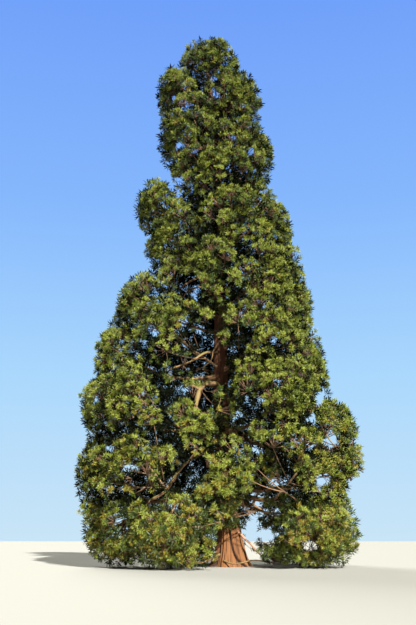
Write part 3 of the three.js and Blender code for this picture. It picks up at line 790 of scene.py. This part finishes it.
def grow_stem(mass):
    """The three guides of a mass's stem, from its bough's tip, the trunk's tip or the side of the trunk."""
    end = mass["middle"] - mass["out"] * STEM_END * mass["half"][0]
    if mass["tier"] is TIP:
        start = trunk_middle(np.array(TRUNK_TIP - STEM_HOLD))
    elif mass["bough"]:
        start = mass["bough"]["guides"][2]
    else:
        start = trunk_middle(mass["middle"][2] - STEM_DROP * mass["half"][2])
    return [start, start + (end - start) * STEM_LEAD, end]


def grow_plumes(mass, random):
    """Roots, axes and lengths of a mass's plumes, spread over its ellipsoid."""
    size = mass["half"].mean() / PLUME_MASS
    directions = spread_over(mass, size * PLUME_SPACING**2, random)
    trial = TRIAL_SHARES[:, None] * reach_of(mass, directions)
    full = fullness(mass["middle"] + directions * trial[..., None]) > 1
    surface = np.where(full, trial, trial[0]).max(axis=0)
    swell = billow(mass["middle"] + directions * surface[:, None])
    depth = PLUME_DEPTHS * random.uniform(0, 1, len(directions)) ** 2
    surface = surface * (BILLOW_MIDDLE + BILLOW * swell - depth)
    surface = np.minimum(surface, reach_of_space(mass, directions))
    points = mass["middle"] + directions * surface[:, None]
    away = points - trunk_middle(points[:, 2])
    lit = in_the_open(points + SHADED_DEPTH * unit(unit(away) + UP * CROWN_SLOPE))
    below = in_the_open(points - UP * SHADED_DEPTH) & (points[:, 2] < UNDERSIDE_HEIGHT)
    grown = (lit | below) & (random.uniform(0, 1, len(points)) > PLUME_GAPS)
    directions = directions[grown]
    length = PLUME_REACH * size**0.5 * (1 + PLUME_UNEVENNESS * random.uniform(-1, 1, len(directions)))
    axis = unit(directions + UP * PLUME_TURN_UP * random.uniform(*PLUME_LIFTS, (len(directions), 1)))
    root = points[grown] - directions * length[:, None] * PLUME_ROOT
    return root, axis, length


def crown_surface():
    """Points all round the crown: at each height and bearing, the furthest point out where it is full."""
    level = np.arange(FILL_FOOT, TIP["height"], FILL_SPACING)[:, None, None]
    around = level_vectors(steps_round(FILL_BEARINGS)[:, None] + level)
    points = trunk_middle(level) + around * FILL_TRIALS[:, None]
    furthest = np.where(fullness(points) > 1, FILL_TRIALS, 0).argmax(axis=2)
    chosen = np.take_along_axis(points, furthest[:, :, None, None], axis=2)[:, :, 0]
    return chosen[furthest > 0]


def fill_creases(random):
    """Adds plumes on the crown's surface where the masses' own plumes leave more than FILL_SPACING free."""
    taken = np.concatenate([mass["roots"] for mass in masses])
    added = []
    for point in random.permutation(crown_surface()):
        out = unit(point - trunk_middle(point[2]))
        root = point - out * FILL_DEPTH
        if np.linalg.norm(taken - root, axis=1).min() > FILL_SPACING:
            taken = np.append(taken, [root], axis=0)
            added.append((root, unit(out + UP * PLUME_TURN_UP)))
    roots, axes = np.array(added).swapaxes(0, 1)
    nearest = np.argmin([share_of_reach(mass, roots) for mass in masses], axis=0)
    for number, mass in enumerate(masses):
        own = nearest == number
        mass["roots"] = np.append(mass["roots"], roots[own], axis=0)
        mass["plume_axes"] = np.append(mass["plume_axes"], axes[own], axis=0)
        mass["lengths"] = np.append(mass["lengths"], np.full(own.sum(), PLUME_REACH))


def new_tubes(name, paths, radii, sides, bark, relief=0):
    """A piece made of a tube along each path, which thins evenly from the first radius to the second."""
    thick = np.linspace(*radii, paths.shape[1])[:, None]
    thick = np.broadcast_to(thick, (len(paths), *thick.shape))
    points, faces = closed_rings(tube_rings(paths, thick, sides))
    return new_piece(name, points, faces, [bark], relief=np.full(len(points), relief))


for number, mass in enumerate(masses):
    random = np.random.default_rng(SEED + number)
    mass["random"] = random
    mass["roots"], mass["plume_axes"], mass["lengths"] = grow_plumes(mass, random)
fill_creases(np.random.default_rng(SEED - 2))
stems = []
branches = []
for mass in masses:
    random = mass["random"]
    guides = grow_stem(mass)
    stems.append(bezier(*guides, np.linspace(0, 1, STEM_STEPS)))
    start = bezier(*guides, random.uniform(BRANCH_START, 1, len(mass["roots"])))
    bend = (start + mass["roots"]) / 2 - UP * BRANCH_SAG
    path = bezier(start, bend, mass["roots"], np.linspace(0, 1, BRANCH_STEPS))
    tips = mass["roots"] + mass["plume_axes"] * mass["lengths"][:, None]
    branches.append(path[stays_out_of_openings(path[:, 2:]).all(axis=1) & stays_out_of_openings(tips)])

BRANCH_BARK = [BARK_DARK, (0.22, 0.12, 0.06, 1), (0.40, 0.27, 0.16, 1)]
branch_bark = bark_material("branch_bark", *BRANCH_BARK, fibre_rate=16)
for name, paths, radii, sides in [
    ("stems", np.array(stems), STEM_RADII, STEM_SIDES),
    ("branches", np.concatenate(branches), BRANCH_RADII, BRANCH_SIDES),
]:
    piece = new_tubes(name, paths, radii, sides, branch_bark)
    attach(piece, "root")

# The twigs and tufts. A plume's twigs fan out and upwards, and each ends in a tuft: a round brush of
# cord-like branchlets clad in needles. Below the tufts only coarse sprays are left, in a near-black of
# painted shade. Tufts that would leave the mass's space or stand in an opening are left out.
TWIGS_PER_PLUME = 18
TWIG_CAP = 0.05  # the lowest twig's rise over the plume's axis
TWIG_SHARE = 0.64  # of the plume's length
TWIG_LIFT = 0.2
TWIG_SCATTER = 0.14
TWIG_LENGTHS = [0.7, 1.15]  # the range over which twigs differ in length
TWIG_RADII = [0.02, 0.01]
TWIG_SIDES = 3
TUFT_TURN_UP = 0.6
TUFT_REACH = 0.3
SPACE_FULLNESS = 0.76  # foliage stays where the crown is at least this full
SPACE_OVERLAP = 0.8  # how far tufts may cross from their mass's space into the next
NEEDLES_PER_TUFT = 28
NEEDLE_CAP = 0.1
NEEDLE_SCATTER = 0.1
NEEDLE_LENGTH = 0.24
NEEDLE_LENGTHS = [0.7, 1.15]  # the range over which needles differ in length
NEEDLE_WIDTH = 0.039
NEEDLE_KEEL = 0.012
NEEDLE_ROLL = 0.45
NEEDLE_WIDEST = 0.6
NEEDLE_STAGGER = 0.15
RUST_PATCHES = 1.9  # how close the patches of dying branchlets lie
RUST_LIMIT = 0.5
RUST_SHARE = 0.18
# Low down the rusty tufts are partly real dying branchlets and partly painted warm light from the ground.
LOW_RUST_AND_WARM_LIGHT = 0.58  # the share of rusty tufts at the ground, which falls to none at LOW_RUST_HEIGHT
LOW_RUST_HEIGHT = 9
RUST_TONE = 1.05  # about 1, so that some two in three of a rusty tuft's needles are
# The dark sprays are painted shade: SHADE_TONE is a near-black that stands for the deep shade inside the
# crown.
SHADE_NEEDLES = 14
SHADE_SIZE = 1.72  # how much larger the dark sprays' branchlets are
SHADE_SPACING = 0.86
SHADE_SHARES = [0.45, 0.62, 0.8]  # of the way out to a mass's surface
SHADE_TONE = (0.005, 0.007, 0.003)
INNER_SHARES = [0.2, 0.35, 0.5, 0.65]  # of the way out from the trunk to the middle of the masses
INNER_FOOT = 2.6
INNER_SCATTER = 0.4
# Dark sprays of painted shade behind the trunk close the view through the dark openings, in upright layers.
BACKING_SPACING = 0.42
BACKING_SPAN = [-7, 3]
BACKING_DEPTHS = [0.8, 1.5]
BACKING_TOP = 20
# From the darkest to the lightest: a name, a colour, and the share of the tufts that have it.
# A tuft's tone is partly random, its own colour, and partly painted light and shade.
TONES = [
    ("needles_deep", (0.030, 0.047, 0.008), 0.20),
    ("needles_grey", (0.082, 0.125, 0.040), 0.09),
    ("needles_green", (0.110, 0.150, 0.018), 0.26),
    ("needles_olive", (0.172, 0.202, 0.022), 0.25),
    ("needles_fresh", (0.250, 0.294, 0.052), 0.20),
]
RUST = (0.195, 0.145, 0.014)
NEEDLE_ROUGHNESS = 0.45
NEEDLE_GLOSS = 0.35
SHADE_GLOSS = 0.03
# Painted light: below LOW_SHADE_HEIGHT the dark sprays take the deep needle tone instead of near-black.
LOW_SHADE_HEIGHT = 3.5  # below it light from the grass reaches the dark sprays too
MOOD_SHARE = 0.5  # how much of a tuft's tone is its plume's
TONE_UNEVENNESS = 0.3
# Painted light and shade: by PLUME_SHADING a plume's tufts are lighter towards its tip and darker near its
# root.
PLUME_SHADING = 0.9  # how much lighter a plume's furthest tufts are than those level with its root
# Painted light and shade: by TONE_LIFT tufts are lighter towards the ground and darker above TONE_MIDDLE.
TONE_LIFT = 0.1  # how much lighter tufts are at the ground than at TONE_MIDDLE, and darker above it
TONE_MIDDLE = 14
LIGHTEST = 0.99  # the lightest tone, just under rust


def needle_choice(tones, random):
    """The number of each face's material: a tuft's needles differ in tone over a range of TONE_UNEVENNESS."""
    even = 2 * random.uniform(0, 1, (len(tones), NEEDLES_PER_TUFT)) - 1
    tones = np.where(tones > 1, tones, np.clip(tones, TONE_UNEVENNESS / 2, 1 - TONE_UNEVENNESS / 2))[:, None]
    return np.searchsorted(tone_limits, tones + TONE_UNEVENNESS / 2 * even).ravel().repeat(2)


def joined(rows):
    """The arrays of all rows, the first of each joined to one, the second to another, and so on."""
    return [np.concatenate(column) for column in zip(*rows)]


def keeps_to_space(mass, points):
    """Whether points lie on their mass's side of its planes, or just over them, and within the full crown."""
    inside = ((points - mass["middle"]) @ mass["normals"].T <= mass["offsets"] + SPACE_OVERLAP).all(axis=-1)
    return inside & (fullness(points) > SPACE_FULLNESS) & (points[..., 2] > GROUND_CLEARANCE)


def grow_inner_shade(random):
    """Roots and axes of the dark sprays round the trunk.

    They stand in rings, one above the other, at shares of the crown's reach, and in the backing's layers.
    """
    level = np.arange(INNER_FOOT, TRUNK_TIP, SHADE_SPACING)
    tier_levels = [tier["height"] for tier in TIERS]
    tier_reaches = [max(m[1] for m in tier["masses"]) for tier in TIERS]
    reach = np.interp(level, tier_levels, tier_reaches)
    roots = []
    for share in INNER_SHARES:
        for height, radius in zip(level, reach * share):
            angle = np.arange(0, 2 * math.pi, SHADE_SPACING / radius) + random.uniform(0, ANY_TURN)
            ring = level_vectors(angle) * radius
            scatter = random.uniform(-INNER_SCATTER, INNER_SCATTER, ring.shape)
            roots.append(trunk_middle(height) + ring + scatter)
    across = np.arange(*BACKING_SPAN, BACKING_SPACING)
    upwards = np.arange(INNER_FOOT, BACKING_TOP, BACKING_SPACING)
    backing = np.stack(np.meshgrid(across, BACKING_DEPTHS, upwards), axis=-1).reshape(-1, 3)
    backing = backing[in_openings(backing, DARK_OPENINGS)]
    roots.append(backing + random.uniform(-BACKING_SPACING / 2, BACKING_SPACING / 2, backing.shape))
    roots = np.concatenate(roots)
    axes = unit(roots - trunk_middle(roots[:, 2]) + UP * TUFT_TURN_UP)
    kept = stays_out_of_openings(roots)
    return roots[kept], axes[kept]


def grow_shade(mass, random):
    """Roots and axes of the dark sprays inside a mass, in shells within its surface and its planes."""
    sprays = []
    for share in SHADE_SHARES:
        directions = spread_over(mass, (SHADE_SPACING / share) ** 2, random)
        depth = np.minimum(reach_of(mass, directions) * share, reach_of_space(mass, directions))
        sprays.append((mass["middle"] + directions * depth[:, None], unit(directions + UP * TUFT_TURN_UP)))
    roots, axes = joined(sprays)
    kept = stays_out_of_openings(roots) & (roots[:, 2] > GROUND_CLEARANCE + NEEDLE_LENGTH)
    return roots[kept], axes[kept]


def grow_twigs(mass, random):
    """The roots and tips of all twigs of a mass, plume by plume, and their directions."""
    directions = fountain(mass["plume_axes"], TWIGS_PER_PLUME, TWIG_CAP, TWIG_SCATTER, random)
    uneven = random.uniform(*TWIG_LENGTHS, (*directions.shape[:2], 1))
    length = TWIG_SHARE * mass["lengths"][:, None, None] * uneven
    root = np.broadcast_to(mass["roots"][:, None], directions.shape)
    tip = root + directions * length + UP * TWIG_LIFT * length
    return np.stack([root, tip], axis=-2), directions


def grow_needles(roots, axes, count, size, random):
    """Corners and faces of tufts: count narrow keeled kites that fan out from each root about its axis.

    Like the flat of a leaf, each kite faces along the axis as far as its own direction allows, give or take
    NEEDLE_ROLL.
    """
    tufts = len(roots)
    directions = fountain(axes, count, NEEDLE_CAP, NEEDLE_SCATTER, random)
    length = size * NEEDLE_LENGTH * random.uniform(*NEEDLE_LENGTHS, (tufts, count, 1))
    start = roots[:, None] + axes[:, None] * random.uniform(0, NEEDLE_STAGGER, (tufts, count, 1))
    tip = start + directions * length
    level = unit(np.cross(directions, axes[:, None]))
    roll = random.normal(scale=NEEDLE_ROLL, size=(tufts, count, 1))
    side = level * np.cos(roll) + np.cross(directions, level) * np.sin(roll)
    widest = start + directions * length * NEEDLE_WIDEST + np.cross(directions, side) * NEEDLE_KEEL * size
    half = side * NEEDLE_WIDTH / 2 * size
    corners = np.stack([start, widest - half, tip, widest + half], axis=-2).reshape(-1, 3)
    corners[:, 2] = np.maximum(corners[:, 2], LOWEST)
    faces = np.array([[0, 1, 2], [0, 2, 3]]) + 4 * np.arange(tufts * count)[:, None, None]
    return corners, faces.reshape(-1, 3)


needle_materials = []
# needles_in_shade takes the near-black of painted shade.
for name, colour, share in [*TONES, ("needles_rust", RUST, 0), ("needles_in_shade", SHADE_TONE, 0)]:
    gloss = SHADE_GLOSS if colour is SHADE_TONE else NEEDLE_GLOSS
    material, shader, place = new_material(name, NEEDLE_ROUGHNESS, gloss)
    shader.inputs["Base Color"].default_value = (*colour, 1)
    needle_materials.append(material)
tone_limits = np.cumsum([share for name, colour, share in TONES])

TWIG_BARK = [BARK_DARK, (0.125, 0.065, 0.036, 1), (0.21, 0.125, 0.075, 1)]
twig_bark = bark_material("twig_bark", *TWIG_BARK, fibre_rate=20)
for tier in [*TIERS, TIP]:
    members = [m for m in masses if m["tier"] is tier]
    tufts = []
    sprays = []
    for mass in members:
        random = mass["random"]
        twigs, directions = grow_twigs(mass, random)
        mood = random.uniform(0, 1, (len(twigs), 1))
        places = twigs[:, :, 1]
        tone = MOOD_SHARE * mood + (1 - MOOD_SHARE) * random.uniform(0, 1, directions.shape[:2])
        # Painted light and shade: tufts that rise further along their plume get lighter tones.
        rise = (directions * mass["plume_axes"][:, None]).sum(axis=-1)
        # Painted light and shade: tufts are lighter low down and darker high up.
        tone = tone + PLUME_SHADING * (rise - 0.5) + TONE_LIFT * (1 - places[..., 2] / TONE_MIDDLE)
        tone = np.minimum(tone, LIGHTEST)
        rust = RUST_SHARE * (billow(places * RUST_PATCHES) > RUST_LIMIT)
        # Near the ground, part of the rust is painted warm light.
        rust = rust + LOW_RUST_AND_WARM_LIGHT * np.clip(1 - places[..., 2] / LOW_RUST_HEIGHT, 0, 1)
        tone = np.where(random.uniform(0, 1, tone.shape) < rust, RUST_TONE, tone)
        axis = unit(directions + UP * TUFT_TURN_UP)
        ends = places + axis * TUFT_REACH
        kept = keeps_to_space(mass, ends) & stays_out_of_openings(ends - axis * TUFT_REACH / 2)
        tufts.append((places[kept], axis[kept], tone[kept], twigs[kept]))
        sprays.append(grow_shade(mass, random))
    if tier is TIP:
        sprays.append(grow_inner_shade(random))
    random = members[0]["random"]
    roots, axes, tones, twigs = joined(tufts)
    points, faces = grow_needles(roots, axes, NEEDLES_PER_TUFT, 1, random)
    choice = needle_choice(tones, random)
    shade_roots, shade_axes = joined(sprays)
    dark_points, dark_faces = grow_needles(shade_roots, shade_axes, SHADE_NEEDLES, SHADE_SIZE, random)
    faces = np.concatenate([faces, dark_faces + len(points)])
    points = np.concatenate([points, dark_points])
    # Painted shade and light: the dark sprays are near-black, but take the deep tone below LOW_SHADE_HEIGHT.
    level = shade_roots[:, 2].repeat(2 * SHADE_NEEDLES)
    choice = np.concatenate([choice, np.where(level < LOW_SHADE_HEIGHT, 0, len(TONES) + 1)])
    needles = new_piece("needles_" + tier["name"], points, faces, needle_materials, choice, smooth=False)
    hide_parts(*["foliage_" + m["name"] for m in members])
    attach(needles, "root")
    piece = new_tubes("twigs_" + tier["name"], twigs, TWIG_RADII, TWIG_SIDES, twig_bark)
    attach(piece, "root")

# The sprouts. Where the crown is open small plumes stand on the trunk, hang before it, and grow on the limbs
# near the ground. Each row is the plume's root and its length. A thin branch joins it to the nearest limb.
SPROUTS = np.array([
    (-0.54, -1.2, 15.3, 0.9), (-0.98, -1.3, 15.9, 0.9), (0.02, -1.0, 14.8, 0.7), (0.14, -1.0, 13.1, 0.6),
    (0.24, -1.1, 11.5, 0.8), (-0.32, -1.2, 9.7, 0.7), (-0.87, -1.4, 9.3, 0.7), (0.15, -1.4, 9.4, 0.9),
    (0.58, -1.6, 10.1, 1.0), (-0.46, -1.6, 8.3, 0.9), (-1.11, -1.8, 8.5, 0.8), (0.38, -1.6, 8.3, 0.9),
    (-1.41, -2.0, 7.8, 0.9), (1.74, -2.2, 0.63, 0.6), (2.26, -2.6, 0.43, 0.6), (2.84, -3.0, 0.59, 0.6),
    (3.29, -3.4, 0.45, 0.6), (2.13, -1.6, 1.0, 0.6), (1.8, -2.0, 3.2, 0.8), (2.37, -2.6, 2.85, 0.7),
    (2.97, -3.0, 3.27, 0.8), (3.59, -3.4, 2.98, 0.8), (4.02, -3.8, 2.55, 0.8), (3.17, -3.0, 2.4, 0.6),
    (-1.18, -2.6, 2.57, 0.8), (-0.68, -3.0, 2.73, 0.8), (-0.17, -3.0, 2.67, 0.8), (0.34, -2.8, 2.84, 0.8),
    (0.74, -2.6, 3.23, 0.8), (-1.46, -2.6, 2.03, 0.7), (1.0, -5.2, 5.6, 0.8), (0.75, -5.0, 4.75, 0.7),
])
SPROUT_TURN_UP = 0.3
SPROUT_RELIEF = -0.4  # their bark is darker than a limb's
SPROUT_BRANCH_STEPS = 6
SPROUT_BRANCH_SIDES = 6
CARRIER_HEIGHTS = np.arange(1.0, 20, 0.5)  # where a sprout's branch may leave the trunk
random = np.random.default_rng(SEED - 1)
roots = SPROUTS[:, :3]
limb_points = [smooth_path(np.array(row[1:]), LIMB_STEPS) for row in SHOWING_LIMBS.values()]
carriers = np.concatenate([*limb_points, trunk_middle(CARRIER_HEIGHTS)])
nearest = np.linalg.norm(roots[:, None] - carriers, axis=-1).argmin(axis=1)
start = carriers[nearest]
away = (roots - trunk_middle(roots[:, 2])) * [1, 1, 0]
sprouts = {"roots": roots, "plume_axes": unit(unit(away) + UP * SPROUT_TURN_UP), "lengths": SPROUTS[:, 3]}
twigs, directions = grow_twigs(sprouts, random)
axis = unit(directions + UP * TUFT_TURN_UP)
places = twigs[:, :, 1]
off_the_ground = places[..., 2] > GROUND_CLEARANCE + TUFT_REACH
kept = stays_out_of_openings(places + axis * TUFT_REACH / 2) & off_the_ground
points, faces = grow_needles(places[kept], axis[kept], NEEDLES_PER_TUFT, 1, random)
choice = needle_choice(random.uniform(0, 1, kept.sum()), random)
needles = new_piece("needles_of_sprouts", points, faces, needle_materials, choice, smooth=False)
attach(needles, "root")
bend = (start + roots) / 2 - UP * BRANCH_SAG
branch_paths = bezier(start, bend, roots, np.linspace(0, 1, SPROUT_BRANCH_STEPS))
for name, paths, radii, sides, bark in [
    ("branches_of_sprouts", branch_paths, BRANCH_RADII, SPROUT_BRANCH_SIDES, branch_bark),
    ("twigs_of_sprouts", twigs[kept], TWIG_RADII, TWIG_SIDES, twig_bark),
]:
    piece = new_tubes(name, paths, radii, sides, bark, SPROUT_RELIEF)
    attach(piece, "root")

# The ground and the light. The ground is a plain pale floor. A low sun stands behind the eye and to its
# right, a softer light comes from behind the tree, and a plain pale sky fills the shade.
FLOOR_COLOUR = (0.34, 0.345, 0.33, 1)
FLOOR_ROUGHNESS = 0.9
floor_mesh = bpy.data.meshes.new("floor")
floor_mesh.from_pydata([(-FLOOR, -FLOOR, 0), (FLOOR, -FLOOR, 0), (FLOOR, FLOOR, 0), (-FLOOR, FLOOR, 0)], [],
                       [(0, 1, 2, 3)])
floor = bpy.data.objects.new("floor", floor_mesh)
bpy.context.scene.collection.objects.link(floor)
material, shader, place = new_material("pale_floor", FLOOR_ROUGHNESS)
shader.inputs["Base Color"].default_value = FLOOR_COLOUR
floor_mesh.materials.append(material)

# Each light is [name, strength, spread in degrees, colour, degrees from straight above, bearing].
for name, strength, spread, colour, slant, bearing in [
    ("sun", 11.2, 1.5, (1.0, 0.96, 0.86), SUN_SLANT, SUN_BEARING),
    ("fill_from_behind", 2.8, 30, (1.0, 0.98, 0.88), 50, 112),
]:
    light = bpy.data.lights.new(name, "SUN")
    light.energy = strength
    light.angle = math.radians(spread)
    light.color = colour
    lamp = bpy.data.objects.new(name, light)
    lamp.rotation_euler = Euler((math.radians(slant), 0, math.radians(bearing + 90)))
    bpy.context.scene.collection.objects.link(lamp)
# The sky's light on the tree, and the sky that the eye sees, by the sine of its height above the horizon.
SKY_LIGHT = 0.07
SKY_FILL = (0.60, 0.62, 0.55, 1)
SKY_COLOURS = [(0.0, (0.58, 0.78, 0.93, 1)), (0.2, (0.40, 0.68, 0.98, 1)), (0.4, (0.24, 0.48, 0.98, 1)),
               (0.62, (0.16, 0.35, 0.95, 1))]
world = bpy.data.worlds.new("sky")
world.use_nodes = True
sky = Value(world.node_tree, None)
background = world.node_tree.nodes["Background"]
direction = sky.node("ShaderNodeTexCoord", {}, {}, output=0)
rise = sky.node("ShaderNodeSeparateXYZ", {}, {"Vector": direction}, output=2)
seen_colour = sky.node("ShaderNodeValToRGB", {"stops": SKY_COLOURS}, {"Fac": rise})
seen = sky.node("ShaderNodeLightPath", {}, {}, output=0)
colour = seen.mix(SKY_FILL, seen_colour)
world.node_tree.links.new(colour.socket, background.inputs["Color"])
strength = seen * (1 - SKY_LIGHT) + SKY_LIGHT
world.node_tree.links.new(strength.socket, background.inputs["Strength"])
bpy.context.scene.world = world
bpy.context.scene.view_settings.view_transform = "Standard"
